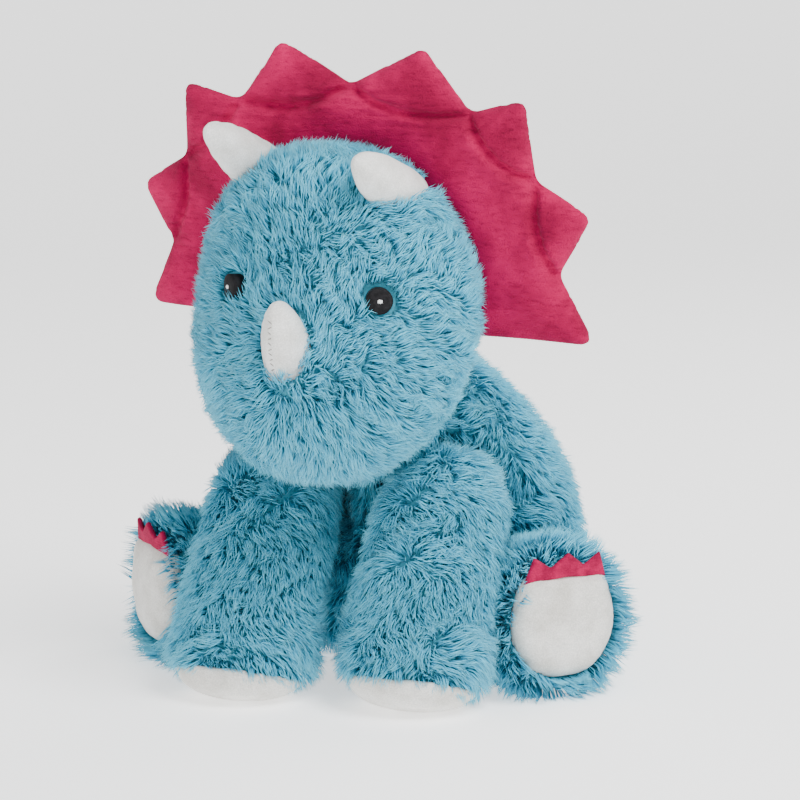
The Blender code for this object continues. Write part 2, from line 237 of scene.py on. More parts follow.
def furMaterial():      # root to tip runs along the strand's V, darker at the root as painted shade and paler at the tip as painted light; the tuft's own tone runs along its U
    look = furToneAndPaintedShading
    made, tree, shader = startMaterial("combedFur", 0.66, 0.16, look["sheen"], specular=0.2)
    along = wired(tree, "ShaderNodeUVMap", uv_map="OFBake")
    split = wired(tree, "ShaderNodeSeparateXYZ")
    # painted shade at the root to painted light at the tip
    depth = ramp(tree, [(0.05, look["root"]), (0.5, look["middle"]), (1.0, look["tip"])])
    tone = ramp(tree, [(0.0, look["darkTuft"]), (0.5, (1, 1, 1)), (1.0, look["paleTuft"])])
    mix = wired(tree, "ShaderNodeMix", data_type='RGBA', blend_type='MULTIPLY')
    mix.inputs["Factor"].default_value = 1
    link = tree.links.new
    link(along.outputs["UV"], split.inputs[0])
    link(split.outputs["Y"], depth.inputs["Fac"])
    link(split.outputs["X"], tone.inputs["Fac"])
    link(depth.outputs["Color"], mix.inputs["A"])
    link(tone.outputs["Color"], mix.inputs["B"])
    link(mix.outputs["Result"], shader.inputs["Base Color"])
    return made


def clothGroup():      # short pile: tone patches, fine rows and grain, as colour factor and height
    group = bpy.data.node_groups.new("shortPile", 'ShaderNodeTree')
    for label in ("Rows", "Row Strength", "Patch Size", "Grain Size"):
        group.interface.new_socket(label, in_out='INPUT', socket_type='NodeSocketFloat')
    group.interface.new_socket("Place", in_out='INPUT', socket_type='NodeSocketVector')
    group.interface.new_socket("Patches", in_out='OUTPUT', socket_type='NodeSocketFloat')
    group.interface.new_socket("Height", in_out='OUTPUT', socket_type='NodeSocketFloat')
    start = group.nodes.new("NodeGroupInput")
    end = group.nodes.new("NodeGroupOutput")
    patches = wired(group, "ShaderNodeTexNoise", Detail=3.0, Roughness=0.55)
    grain = wired(group, "ShaderNodeTexNoise", Detail=2.0, Roughness=0.6)
    squash = wired(group, "ShaderNodeVectorMath", operation='MULTIPLY')
    squash.inputs[1].default_value = (0.28, 0.28, 1.0)
    rows = wired(group, "ShaderNodeTexNoise", Detail=1.0, Roughness=0.5)
    weigh = wired(group, "ShaderNodeMath", operation='MULTIPLY')
    total = wired(group, "ShaderNodeMath", operation='ADD')
    link = group.links.new
    link(start.outputs["Place"], patches.inputs["Vector"])
    link(start.outputs["Patch Size"], patches.inputs["Scale"])
    link(start.outputs["Place"], grain.inputs["Vector"])
    link(start.outputs["Grain Size"], grain.inputs["Scale"])
    link(start.outputs["Place"], squash.inputs[0])
    link(squash.outputs[0], rows.inputs["Vector"])
    link(start.outputs["Rows"], rows.inputs["Scale"])
    link(rows.outputs["Fac"], weigh.inputs[0])
    link(start.outputs["Row Strength"], weigh.inputs[1])
    link(grain.outputs["Fac"], total.inputs[0])
    link(weigh.outputs[0], total.inputs[1])
    link(patches.outputs["Fac"], end.inputs["Patches"])
    link(total.outputs[0], end.inputs["Height"])
    return group


shortPile = clothGroup()


def clothMaterial(name, dark, light, rough=0.85, sheen=0.5, tint=(1, 1, 1), bump=0.5, depth=0.35,
                  rows=700.0, rowStrength=0.4, patchSize=45.0, grainSize=1400.0,
                  contrast=(0.35, 0.65), fleckRange=(0.78, 1.16)):
    made, tree, shader = startMaterial(name, rough, sheen, tint, specular=0.12)
    place = wired(tree, "ShaderNodeTexCoord")
    pile = wired(tree, "ShaderNodeGroup", node_tree=shortPile)
    pile.inputs["Rows"].default_value = rows
    pile.inputs["Row Strength"].default_value = rowStrength
    pile.inputs["Patch Size"].default_value = patchSize
    pile.inputs["Grain Size"].default_value = grainSize
    middle = [(a + b) / 2 for a, b in zip(dark, light)]
    shade = ramp(tree, [(contrast[0], dark), (0.5, middle), (contrast[1], light)])
    fleck = wired(tree, "ShaderNodeMapRange")
    fleck.inputs["From Min"].default_value, fleck.inputs["From Max"].default_value = 0.45, 0.95
    fleck.inputs["To Min"].default_value, fleck.inputs["To Max"].default_value = fleckRange
    mix = wired(tree, "ShaderNodeMix", data_type='RGBA', blend_type='MULTIPLY')
    mix.inputs["Factor"].default_value = 1
    relief = wired(tree, "ShaderNodeBump", Strength=bump, Distance=depth * mm)
    link = tree.links.new
    link(place.outputs["Object"], pile.inputs["Place"])
    link(pile.outputs["Patches"], shade.inputs["Fac"])
    link(pile.outputs["Height"], fleck.inputs["Value"])
    link(shade.outputs["Color"], mix.inputs["A"])
    link(fleck.outputs["Result"], mix.inputs["B"])
    link(mix.outputs["Result"], shader.inputs["Base Color"])
    link(pile.outputs["Height"], relief.inputs["Height"])
    link(relief.outputs["Normal"], shader.inputs["Normal"])
    return made


combedFur = furMaterial()
# the backing's teal, darkened to the fur's shadow colour: painted shade where it shows between the strands
backingCloth = clothMaterial("furBacking", (0.036, 0.240, 0.330), (0.060, 0.330, 0.440), sheen=0.15)
frillPlush = clothMaterial("frillPlush", (0.200, 0.001, 0.030), (0.410, 0.002, 0.066), sheen=0.09,
                           tint=(1.0, 0.28, 0.50), bump=1.0, depth=0.7, rows=620.0, rowStrength=0.9,
                           patchSize=34.0, contrast=(0.36, 0.64), fleckRange=(0.62, 1.30))
soleVelour = clothMaterial("soleVelour", (0.610, 0.590, 0.540), (0.790, 0.775, 0.735), sheen=0.4,
                           bump=0.35, depth=0.25, rowStrength=0.2, patchSize=60.0)
hornVelour = clothMaterial("hornVelour", (0.740, 0.730, 0.690), (0.880, 0.875, 0.850), sheen=0.45,
                           bump=0.4, depth=0.25, rowStrength=0.1, patchSize=90.0)
clawKnit = clothMaterial("clawKnit", (0.220, 0.002, 0.034), (0.400, 0.004, 0.062), sheen=0.08,
                         tint=(1.0, 0.4, 0.55), bump=0.7, depth=0.3, rows=1500.0, patchSize=160.0)
eyeStitch = clothMaterial("eyeStitch", (0.004, 0.004, 0.005), (0.013, 0.012, 0.014), rough=0.6, sheen=0.03,
                          bump=0.3, depth=0.1, patchSize=500.0)
whiteThread = clothMaterial("whiteThread", (0.800, 0.800, 0.800), (0.900, 0.900, 0.900), rough=0.5, sheen=0.2,
                            bump=0.2, depth=0.1, patchSize=500.0)
seamThread = clothMaterial("seamThread", (0.270, 0.260, 0.235), (0.360, 0.350, 0.320), rough=0.7, sheen=0.2,
                           bump=0.2, depth=0.1, patchSize=500.0)
calico = clothMaterial("calico", (0.640, 0.590, 0.480), (0.760, 0.710, 0.600), rows=900.0,
                       rowStrength=0.8, patchSize=80.0)
looseGrain = clothMaterial("looseGrain", (0.420, 0.270, 0.120), (0.680, 0.480, 0.240), rough=0.6, sheen=0.0,
                           bump=1.0, depth=1.5, grainSize=250.0, patchSize=250.0)
print("materials made")

# skins under the fur
rng = np.random.default_rng(11)
headNodes = ["face_panel_left", "face_panel_right", "head_back_panel", "head_stuffing"]
torsoNodes = ["back_panel_left", "back_panel_right", "belly_panel", "seat_panel", "torso_stuffing"]
skinLook = {"voxel": 3.5, "passes": 6, "sink": -3.6}


def furSkin(name, body, nodes):
    skin = softened(copyOfNodes(name, *nodes), skinLook["voxel"], skinLook["passes"], skinLook["sink"])
    setFinish(skin, backingCloth, body)
    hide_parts(*nodes)
    return skin


skins = {"head": furSkin("headSkin", "head", headNodes), "torso": furSkin("torsoSkin", "torso", torsoNodes)}
for side in ("left", "right"):
    frontNodes = [f"front_leg_{side}_{part}" for part in ("outer_cover", "inner_cover", "stuffing")]
    hindNodes = [f"hind_leg_{side}_{part}" for part in ("upper_cover", "lower_cover", "stuffing")]
    skins["front_leg_" + side] = furSkin("frontLegSkin." + side, "front_leg_" + side, frontNodes)
    skins["hind_leg_" + side] = furSkin("hindLegSkin." + side, "hind_leg_" + side, hindNodes)
skins["tail"] = furSkin("tailSkin", "tail", ["tail_cover_left", "tail_cover_right", "tail_stuffing"])

neckRoll = {"reach": 12.0, "width": 7.0}      # a roll of cloth that fills the gap under the head
neck = copyOfNodes("neckSkin", "neck_stuffing")
refine(neck, 2)
local = toLocal(neckFrame, spotsOf(neck))
outward = unit(local * (1, 1, 0))
local += outward * (neckRoll["reach"] * np.exp(-(local[:, 2:] / neckRoll["width"]) ** 2))
moveSpots(neck, toWorld(neckFrame, local))
neck.data.shade_smooth()
setFinish(neck, backingCloth, "neck")
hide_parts("neck_stuffing")
skins["neck"] = neck
print("skins made")

# legs' own frames
hindSwell = {"from": 12.0, "over": 30.0, "grow": 0.15, "offFloor": 1.5}
hindPlaces = {"left": {"hip": (69, 78), "foot": (113, 33)}, "right": {"hip": (-70, 70), "foot": (-117, 22)}}
hipHeight = 36.0
hindFrames = {}
for side, place in hindPlaces.items():
    (hipX, hipY), (footX, footY) = place["hip"], place["foot"]
    heading = math.degrees(math.atan2(footY - hipY, footX - hipX)) + 90
    hindFrames[side] = placed((hipX, hipY, hipHeight), (90, 0, heading), toyFrame)
    skin = skins["hind_leg_" + side]      # the foot is a little plumper than the leg
    local = toLocal(hindFrames[side], spotsOf(skin))
    rise = np.clip((local[:, 2:3] - hindSwell["from"]) / hindSwell["over"], 0, 1)
    local[:, :2] *= 1 + hindSwell["grow"] * rise * rise * (3 - 2 * rise)
    spots = toWorld(hindFrames[side], local)
    spots[:, 2] = np.maximum(spots[:, 2], hindSwell["offFloor"] * mm)
    moveSpots(skin, spots)

frontSoles = {"left": (43, 6, 9), "right": (-43, -6, 9), "tilt": -22.0}
frontSoleFrames = {side: placed(frontSoles[side], (frontSoles["tilt"], 0, 0), toyFrame)
                   for side in ("left", "right")}
tailPlace = {"root": (0, 176, 42), "droop": -78.0}
tailFrame = placed(tailPlace["root"], (tailPlace["droop"], 0, 0), toyFrame)

horns = {
    "brow_horn_right": {"base": (-41, 4, 60), "tip": (-44, -54, 86), "radius": 12.5},
    "brow_horn_left": {"base": (35, -2, 54), "tip": (33, -54, 77), "radius": 12.5},
    "nose_horn": {"base": (0, -47, -21), "tip": (0, -65, 10), "radius": 12.5},
}
eyes = {"left": {"at": (40, -38.4, 11.3), "turn": 33.0}, "right": {"at": (-36, -40, 11.3), "turn": -37.0}}

# fur
fur = {
    "length": 12.5, "shortest": 0.70, "longest": 1.14, "rootRadius": 0.34, "taper": 0.85, "sink": 0.6,
    "headPerMm2": 0.90, "frontPerMm2": 0.90, "torsoPerMm2": 0.66, "hindPerMm2": 0.85,
    "strandsPerTuft": 15, "gather": 0.50, "middleGather": 0.55, "stray": 0.36, "tuftLean": 0.45,
    "tuftTone": 0.15, "strandTone": 0.13, "offFloor": 0.25, "pieceLimit": 19500,
}
# a strand is three root corners, three middle corners and its tip
strandFaces = np.array([(0, 1, 3), (3, 1, 4), (1, 2, 4), (4, 2, 5), (2, 0, 5),
                        (5, 0, 3), (3, 4, 6), (4, 5, 6), (5, 3, 6), (0, 2, 1)])
strandU = np.array([0, 0.004, 0.008, 0, 0.004, 0.008, 0.004])
strandV = np.array([0.02, 0.03, 0.02, 0.5, 0.51, 0.5, 0.98])


def swirl(points, scale, seed):      # smooth wandering directions, from a few crossed waves
    waves = np.random.default_rng(seed)
    out = np.zeros_like(points)
    for turn in range(7):
        k = waves.normal(size=3) / scale * (1 + 0.35 * turn)
        out += waves.normal(size=3) * np.sin(points @ k + waves.uniform(0, 6.28))[:, None]
    return out / 2.6


def flatSwirl(flat, scale, seed):      # the same over a flat sheet's (x, y) points
    return swirl(np.column_stack([flat, np.zeros(len(flat))]), scale, seed)


def roots(skin, perMm2):
    mesh = skin.data
    mesh.calc_loop_triangles()
    corners = np.empty(len(mesh.loop_triangles) * 3, np.int32)
    mesh.loop_triangles.foreach_get("vertices", corners)
    corners = corners.reshape(-1, 3)
    at = np.empty(len(mesh.vertices) * 3)
    mesh.vertices.foreach_get("co", at)
    at = at.reshape(-1, 3)
    normals = np.empty(len(mesh.vertices) * 3, np.float32)
    mesh.vertex_normals.foreach_get("vector", normals)
    normals = normals.reshape(-1, 3).astype(float)
    a, b, c = (at[corners[:, i]] for i in range(3))
    area = np.linalg.norm(np.cross(b - a, c - a), axis=1) / 2
    count = int(area.sum() / mm ** 2 * perMm2)
    which = rng.choice(len(corners), count, p=area / area.sum())
    u, v = rng.random(count), rng.random(count)
    flip = u + v > 1
    u[flip], v[flip] = 1 - u[flip], 1 - v[flip]
    mix = np.stack([1 - u - v, u, v], 1)[:, :, None]
    return (at[corners[which]] * mix).sum(1) / mm, unit((normals[corners[which]] * mix).sum(1))


probe = Vector((0.03, 0.05, 1))      # nearly upright, so that it doesn't run along a wall


def insideOf(points, skin):      # points in mm that lie within a skin, by counting the walls above them
    tree, low, high = skin
    found = np.zeros(len(points), bool)
    near = ((points > low) & (points < high)).all(1)
    for i in np.nonzero(near)[0]:
        at, walls = Vector(points[i]) * mm, 0
        spot = tree.ray_cast(at, probe)[0]
        while spot:
            walls += 1
            spot = tree.ray_cast(spot + probe * 1e-5, probe)[0]
        found[i] = walls % 2 == 1
    return found


def strandPieces(name, body, points, tone):      # meshes of at most pieceLimit strands, with their UVs
    uvU = tone[:, None] + strandU
    uvV = np.tile(strandV, (len(points), 1))
    for part, low in enumerate(range(0, len(points), fur["pieceLimit"])):
        chunk = slice(low, low + fur["pieceLimit"])
        spots = points[chunk].reshape(-1, 3) * mm
        firsts = np.arange(len(points[chunk]))[:, None, None] * 7
        index = (firsts + strandFaces).reshape(-1)
        mesh = bpy.data.meshes.new(name)
        mesh.vertices.add(len(spots))
        mesh.vertices.foreach_set("co", spots.ravel())
        mesh.loops.add(len(index))
        mesh.loops.foreach_set("vertex_index", index.astype(np.int32))
        mesh.polygons.add(len(index) // 3)
        mesh.polygons.foreach_set("loop_start", np.arange(0, len(index), 3, dtype=np.int32))
        layer = mesh.uv_layers.new(name="OFBake")
        uv = np.stack([uvU[chunk].reshape(-1), uvV[chunk].reshape(-1)], 1)[index]
        layer.data.foreach_set("uv", uv.ravel())
        mesh.update(calc_edges=True)
        mesh.shade_smooth()
        piece = bpy.data.objects.new(f"{name}.{part + 1}", mesh)
        bpy.context.scene.collection.objects.link(piece)
        setFinish(piece, combedFur, body)
    print(name, len(points), "strands")


def growFur(name, body, at, normal, flow, lengths, lift, fence=None):      # strands from roots in mm
    count = len(at)
    leaders = rng.choice(count, max(count // fur["strandsPerTuft"], 1), replace=False)
    tree = KDTree(len(leaders))
    for i, leader in enumerate(leaders):
        tree.insert(at[leader], i)
    tree.balance()
    mine = np.array([leaders[tree.find(p)[1]] for p in at])
    flow = unit(flow - (flow * normal).sum(1, keepdims=True) * normal)
    aim = unit(normal * lift + flow + fur["stray"] * rng.normal(size=at.shape))
    length = lengths * rng.uniform(fur["shortest"], fur["longest"], count)[:, None]
    start = at - normal * fur["sink"]
    middle = start + unit(normal * 1.1 + aim) * length * 0.5
    gather = fur["gather"] * rng.uniform(0.45, 1.15, count)[:, None]
    lean = unit(flow + 0.9 * rng.normal(size=at.shape))[mine]      # each tuft leans its own way
    aim = unit(aim + fur["tuftLean"] * (lean - (lean * normal).sum(1, keepdims=True) * normal))
    tip = middle + aim * length * 0.52
    offset = at - at[mine]      # tips draw close to their tuft's leader, middles less
    tip = tip * (1 - gather) + (tip[mine] + offset * 0.15) * gather
    half = gather * fur["middleGather"]
    middle = middle * (1 - half) + (middle[mine] + offset * 0.7) * half
    if fence:
        middle, tip = fence(at, middle), fence(at, tip)
    for part in (start, middle, tip):
        part[:, 2] = np.maximum(part[:, 2], fur["offFloor"])
    along = unit(tip - start)
    sideways = unit(np.cross(along, normal) + 1e-4)
    upward = np.cross(along, sideways)
    roll = rng.uniform(0, 2 * math.pi, count)[:, None]
    thick = fur["rootRadius"] * rng.uniform(0.75, 1.25, count)[:, None]
    points = np.empty((count, 7, 3))
    for k in range(3):
        angle = roll + k * 2 * math.pi / 3
        ring = np.cos(angle) * sideways + np.sin(angle) * upward
        points[:, k] = start + ring * thick
        points[:, 3 + k] = middle + ring * thick * fur["taper"]
    points[:, 6] = tip
    points[:, :, 2] = np.maximum(points[:, :, 2], 0.1)
    tuftTone = rng.normal(0, fur["tuftTone"], count)[mine] + 0.10 * swirl(at, 22, 12)[:, 0]
    tone = np.clip(0.5 + tuftTone + rng.normal(0, fur["strandTone"], count), 0.02, 0.97)
    strandPieces(name, body, points, tone)


trees = {}
for key, skin in skins.items():
    skin.data.calc_loop_triangles()
    spots = spotsOf(skin)
    tree = BVHTree.FromPolygons(spots.tolist(), [tuple(t.vertices) for t in skin.data.loop_triangles])
    trees[key] = (tree, spots.min(0) / mm, spots.max(0) / mm)


def clearOf(at, normal, own, buried):      # roots another part's skin doesn't bury, and a few it does
    keep = np.ones(len(at), bool)
    for key, skin in trees.items():
        if key != own:
            keep &= ~insideOf(at + normal * 3, skin) | (rng.random(len(at)) < buried)
    return keep


def toward(matrix, place):
    return toWorld(matrix, [place])[0] / mm


headCoat = {
    "collar": 2.2, "frillGap": 3.5, "frillFoot": -7.0, "muzzle": (0, -50, -22),
    "eyeClear": 8.3, "eyePush": 60.0, "eyeReach": 14.0, "hornClear": 0.80,
    "down": (0, 0.2, -1.0), "wander": 0.75, "wanderSize": 14, "lift": 0.72,
}
frillSides = {"face": 4.2, "foot": -9.0}


def frillFence(at, points):      # fur lies against the frill's own face
    here, there = toLocal(frillFrame, at * mm), toLocal(frillFrame, points * mm)
    ahead = np.minimum(there[:, 1], -frillSides["face"])
    behind = np.maximum(there[:, 1], frillSides["face"])
    held = np.where(here[:, 1] < 0, ahead, behind)
    there[:, 1] = np.where(there[:, 2] > frillSides["foot"], held, there[:, 1])
    return toWorld(frillFrame, there) / mm


def headFur():      # runs back from the muzzle, round the eyes and down the back
    look = headCoat
    at, normal = roots(skins["head"], fur["headPerMm2"])
    local = toLocal(headFrame, at * mm)
    keep = toLocal(neckFrame, at * mm)[:, 2] > look["collar"]
    sheet = toLocal(frillFrame, at * mm)
    keep &= (np.abs(sheet[:, 1]) > look["frillGap"]) | (sheet[:, 2] < look["frillFoot"])
    flow = at - toward(headFrame, look["muzzle"])
    for eye in eyes.values():
        away = at - toward(headFrame, eye["at"])
        reach = np.linalg.norm(away, axis=1)
        keep &= reach > look["eyeClear"]
        flow += unit(away) * (look["eyePush"] * np.exp(-(reach / look["eyeReach"]) ** 2))[:, None]
    for horn in horns.values():
        base, tip = toward(headFrame, horn["base"]), toward(headFrame, horn["tip"])
        axis = unit(tip - base)
        along = (at - base) @ axis
        reach = np.linalg.norm(at - base - along[:, None] * axis, axis=1)
        keep &= (reach > horn["radius"] * look["hornClear"]) | (along < -12) | (along > 60)
    back = np.clip((local[:, 1] - 25) / 20, 0, 1)[:, None]
    flow = unit(flow) * (1 - back) + np.array(look["down"]) * back
    flow = unit(flow) + look["wander"] * swirl(at, look["wanderSize"], 5)
    long = fur["length"] * (0.84 + 0.16 * np.clip((-local[:, 2:3] - 15) / 40, 0, 1))
    at, normal, flow, long = at[keep], normal[keep], flow[keep], long[keep]
    growFur("headFur", "head", at, normal, flow, long, look["lift"], frillFence)


torsoCoat = {
    "seat": 7.0, "collar": -2.2, "buried": 0.12, "down": (0, 0.25, -0.8), "wander": 0.75, "wanderSize": 15,
    "lift": 0.95,
}


def torsoFur():
    look = torsoCoat
    at, normal = roots(skins["torso"], fur["torsoPerMm2"])
    keep = (at[:, 2] > look["seat"]) & (toLocal(neckFrame, at * mm)[:, 2] < look["collar"])
    at, normal = at[keep], normal[keep]
    keep = clearOf(at, normal, "torso", look["buried"])
    at, normal = at[keep], normal[keep]
    flow = np.array(look["down"]) + look["wander"] * swirl(at, look["wanderSize"], 6)
    growFur("torsoFur", "torso", at, normal, flow, np.full((len(at), 1), fur["length"]), look["lift"])


frontCoat = {
    "hem": 1.5, "buried": 0.1, "down": (0, -0.15, -1.0), "flare": 0.25, "wander": 0.65, "wanderSize": 19,
    "lift": 0.55, "lowLift": 0.75, "hemLift": 2.2, "lowLonger": 0.45, "hemShorter": 0.4,
}


def frontLegFur(side):      # longer toward the foot, short and lifted at the sole's hem
    look = frontCoat
    body = "front_leg_" + side
    at, normal = roots(skins[body], fur["frontPerMm2"])
    keep = toLocal(frontSoleFrames[side], at * mm)[:, 2] > look["hem"]
    at, normal = at[keep], normal[keep]
    keep = clearOf(at, normal, body, look["buried"])
    at, normal = at[keep], normal[keep]
    flow = np.array(look["down"]) + look["flare"] * normal + look["wander"] * swirl(at, look["wanderSize"], 7)
    low = np.clip((40 - at[:, 2:3]) / 35, 0, 1)
    hem = np.clip(1 - toLocal(frontSoleFrames[side], at * mm)[:, 2:3] / 15, 0, 1)
    long = fur["length"] * (1.0 + look["lowLonger"] * low) * (1 - look["hemShorter"] * hem)
    lift = look["lift"] + look["lowLift"] * low + look["hemLift"] * hem
    growFur("frontLegFur." + side, body, at, normal, flow, long, lift)


hindCoat = {
    "end": 55.0, "soleFrom": 46.0, "soleEdge": 0.94, "offFloor": 2.5, "buried": 0.1, "lift": 0.9,
    "ahead": 0.9, "wander": 0.5, "wanderSize": 14,
    "ringFrom": 30.0, "ringOver": 18.0, "ringLonger": 0.35, "ringLift": 3.2,
    "keepSole": 1.04, "keepFrom": 52.0, "clawHalf": 25.0, "clawFrom": 18.0, "clawBack": 55.5,
}


def soleSpread(local):      # 1 on the hind sole's outline, less inside it
    return np.hypot(local[:, 0] / 28.5, (local[:, 1] - 1) / 26.0)


def hindFence(side):      # fur stays off the sole and behind the claws
    look = hindCoat

    def keepOut(at, points):
        local = toLocal(hindFrames[side], points * mm)
        spread = soleSpread(local)
        over = (local[:, 2] > look["keepFrom"]) & (spread < look["keepSole"])
        grow = np.where(over, look["keepSole"] / np.maximum(spread, 0.3), 1)
        local[:, 0] *= grow
        local[:, 1] = 1 + (local[:, 1] - 1) * grow
        behindClaws = (np.abs(local[:, 0]) < look["clawHalf"]) & (local[:, 1] > look["clawFrom"])
        local[:, 2] = np.where(behindClaws, np.minimum(local[:, 2], look["clawBack"]), local[:, 2])
        return toWorld(hindFrames[side], local) / mm
    return keepOut


def hindLegFur(side):      # a longer, lifted ring of fur stands round the sole
    look = hindCoat
    body = "hind_leg_" + side
    at, normal = roots(skins[body], fur["hindPerMm2"])
    local = toLocal(hindFrames[side], at * mm)
    offSole = (local[:, 2] < look["soleFrom"]) | (soleSpread(local) > look["soleEdge"])
    keep = (local[:, 2] < look["end"]) & (at[:, 2] > look["offFloor"]) & offSole
    at, normal, local = at[keep], normal[keep], local[keep]
    keep = clearOf(at, normal, body, look["buried"])
    at, normal, local = at[keep], normal[keep], local[keep]
    ahead = np.array(hindFrames[side])[:3, 2]
    flow = ahead * look["ahead"] + look["wander"] * swirl(at, look["wanderSize"], 8)
    ring = np.clip((local[:, 2:3] - look["ringFrom"]) / look["ringOver"], 0, 1)
    long = fur["length"] * (1 + look["ringLonger"] * ring)
    lift = look["lift"] + look["ringLift"] * ring
    growFur("hindLegFur." + side, body, at, normal, flow, long, lift, hindFence(side))


tailCoat = {"buried": 0.1, "wander": 0.3, "wanderSize": 12, "length": 0.9, "lift": 0.9}
neckCoat = {"clear": 33.0, "down": (0, 0, -1.0), "wander": 0.4, "wanderSize": 12, "length": 0.85, "lift": 1.4}


def tailFur():
    look = tailCoat
    at, normal = roots(skins["tail"], fur["torsoPerMm2"])
    keep = clearOf(at, normal, "tail", look["buried"])
    at, normal = at[keep], normal[keep]
    flow = np.array(tailFrame)[:3, 2] + look["wander"] * swirl(at, look["wanderSize"], 9)
    long = np.full((len(at), 1), fur["length"] * look["length"])
    growFur("tailFur", "tail", at, normal, flow, long, look["lift"])


def neckFur():
    look = neckCoat
    at, normal = roots(skins["neck"], fur["torsoPerMm2"])
    local = toLocal(neckFrame, at * mm)
    keep = np.linalg.norm(local[:, :2], axis=1) > look["clear"]
    at, normal = at[keep], normal[keep]
    flow = np.array(look["down"]) + look["wander"] * swirl(at, look["wanderSize"], 10)
    long = np.full((len(at), 1), fur["length"] * look["length"])
    growFur("neckFur", "neck", at, normal, flow, long, look["lift"])


headFur()
torsoFur()
for side in ("left", "right"):
    frontLegFur(side)
    hindLegFur(side)
tailFur()
neckFur()
print("fur grown")


# frill
frillShape = {
    "tips": [(38, 127.5), (89.5, 106), (121, 51), (121.5, -12)],
    "valleys": [(0, 108), (60, 97), (93.5, 67), (104, 22.5)],
    "tipRound": 6.0, "valleyRound": 8.0, "innerHalf": 58.0, "innerTop": 66.0, "low": -13.0, "spacing": 1.8,
    "rim": 1.8, "loft": 4.8, "loftRise": 6.0, "lump": 0.55, "bow": 1.6, "middle": (0, 20),
    "creaseDepth": 4.2, "creaseWidth": 2.0, "creaseSag": 0.10, "pucker": 0.9, "puckerWidth": 8.0,
    "backLoft": 0.8, "backCrease": 0.6,
}


def roundedLoop(corners):      # (x, y, radius) corners to a loop of points with arcs
    loop = []
    for i, (x, y, radius) in enumerate(corners):
        here = Vector((x, y))
        before = Vector(corners[i - 1][:2]) - here
        after = Vector(corners[(i + 1) % len(corners)][:2]) - here
        if radius <= 0:
            loop.append(here)
            continue
        half = before.angle(after) / 2
        cut = min(radius / math.tan(half), before.length * 0.48, after.length * 0.48)
        a, b = here + before.normalized() * cut, here + after.normalized() * cut
        for step in range(7):
            t = step / 6
            loop.append(a * (1 - t) ** 2 + here * 2 * t * (1 - t) + b * t ** 2)
    return loop


def resampled(loop, step):
    out = []
    for a, b in zip(loop, loop[1:] + loop[:1]):
        parts = max(1, round((b - a).length / step))
        out += [a.lerp(b, i / parts) for i in range(parts)]
    return out


def distanceTo(points, line, closed):      # least distance from points to a polyline
    ends = line[1:] + line[:1] if closed else line[1:]
    starts = line if closed else line[:-1]
    best = np.full(len(points), 1e9)
    for a, b in zip(starts, ends):
        a, b = np.array(a), np.array(b)
        run = b - a
        t = np.clip(((points - a) @ run) / max(run @ run, 1e-9), 0, 1)
        best = np.minimum(best, np.linalg.norm(points - a - t[:, None] * run, axis=1))
    return best


def flatFill(loop, spacing):      # triangles inside a loop, with an even scatter of points
    edge = np.array([tuple(p) for p in loop])
    low, high = edge.min(0), edge.max(0)
    grid = []
    for row, y in enumerate(np.arange(low[1], high[1], spacing * 0.87)):
        shift = spacing / 2 if row % 2 else 0
        grid += [(x + shift, y) for x in np.arange(low[0], high[0], spacing)]
    grid = np.array(grid)
    grid = grid[distanceTo(grid, loop, True) > spacing * 0.55]
    points = [Vector(p) for p in np.vstack([edge, grid])]
    border = [(i, (i + 1) % len(edge)) for i in range(len(edge))]
    filled = geometry.delaunay_2d_cdt(points, border, [], 1, 1e-6)
    spots, faces = filled[0], filled[2]
    used = sorted({i for f in faces for i in f})
    renumber = {old: new for new, old in enumerate(used)}
    return (np.array([tuple(spots[i]) for i in used]), [tuple(renumber[i] for i in f) for f in faces])


def signedAreas(flat, faces):      # of triangles, plus where their corners run anticlockwise
    a, b, c = (flat[[f[k] for f in faces]] for k in range(3))
    return ((b - a)[:, 0] * (c - a)[:, 1] - (c - a)[:, 0] * (b - a)[:, 1]) / 2


def twoFaced(name, flat, faces, front, back, matrix):      # two sheets over one outline, joined at the rim
    count = len(flat)
    ahead, behind = (np.stack([flat[:, 0], side, flat[:, 1]], 1) for side in (-front, back))
    spots = np.vstack([ahead, behind])
    if signedAreas(flat, faces[:50]).sum() < 0:
        faces = [f[::-1] for f in faces]
    sides = {}
    for f in faces:
        for a, b in zip(f, f[1:] + f[:1]):
            sides[(a, b)] = True
    rim = [(a, b) for a, b in sides if (b, a) not in sides]
    allFaces = [tuple(f) for f in faces] + [tuple(i + count for i in f[::-1]) for f in faces]
    allFaces += [(b, a, a + count, b + count) for a, b in rim]
    return newPiece(name, toWorld(matrix, spots), allFaces)


def frillOutline():      # points and valleys outside, a plain arch inside where the head sits
    look = frillShape
    foot = look["low"] + 1
    half = []
    for valley, tip in zip(look["valleys"], look["tips"]):
        half += [(*valley, look["valleyRound"]), (*tip, look["tipRound"])]
    right = half[1:] + [(look["innerHalf"], foot, 3)]
    rise = look["innerTop"] - look["low"]
    arc = [(look["innerHalf"] * math.cos(a), foot + rise * math.sin(a), 0)
           for a in np.radians(np.arange(12, 169, 6))]
    left = [(-x, z, r) for x, z, r in reversed(right)]
    return resampled(roundedLoop([half[0]] + right + arc + left), look["spacing"])


def frillCreases(flat):      # distance to the sewn lines that sag from valley to valley
    look = frillShape
    centre = Vector(look["middle"])
    valleys = look["valleys"][::-1] + [(-x, z) for x, z in look["valleys"][1:]]
    valleys = sorted(valleys, key=lambda p: math.atan2(p[1] - centre.y, p[0] - centre.x))
    nearest = np.full(len(flat), 1e9)
    for a, b in zip(valleys, valleys[1:]):
        a, b = Vector(a), Vector(b)
        sag = -((a + b) / 2 - centre).normalized() * (a - b).length * look["creaseSag"]
        line = [a.lerp(b, t) + sag * math.sin(math.pi * t) for t in np.linspace(0, 1, 9)]
        nearest = np.minimum(nearest, distanceTo(flat, line, False))
    return nearest


